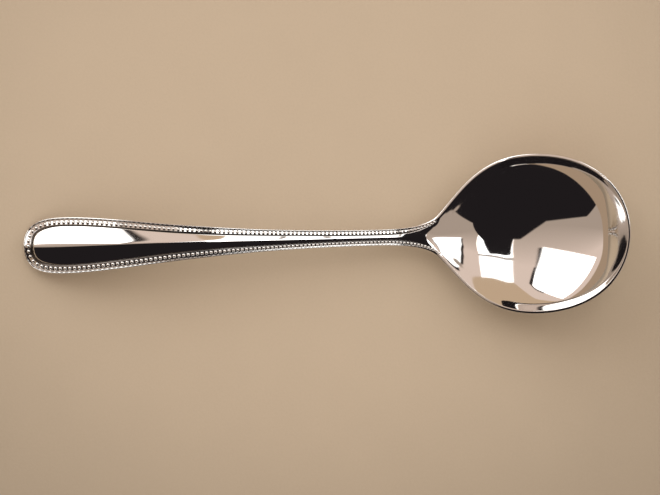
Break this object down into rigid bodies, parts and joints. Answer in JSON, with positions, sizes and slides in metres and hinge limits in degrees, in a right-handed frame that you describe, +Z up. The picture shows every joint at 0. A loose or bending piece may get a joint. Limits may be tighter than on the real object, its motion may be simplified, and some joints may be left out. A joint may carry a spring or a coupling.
{
  "type": "soup spoon",
  "caption": "Round-bowled soup spoon in polished steel, with an arched stem that widens to a rounded handle end and a beaded border round the handle's face.",
  "frame": {"origin": "half way along the spoon, on its plane of symmetry, at the level of the table it lies on", "axes": "+X from the handle's end to the bowl's tip, +Y to the left of that, +Z up out of the bowl"},
  "size_m": [0.175, 0.046, 0.0193],
  "materials": {
    "polished_steel": "mirror polished, with fine wear marks",
    "bead_steel": "struck and polished, darker between the beads"
  },
  "bodies": {
    "root": {"bowl": "polished_steel", "neck": "polished_steel", "stem": "polished_steel", "handle_end": "polished_steel", "bead_border": "bead_steel"}
  },
  "joints": []
}
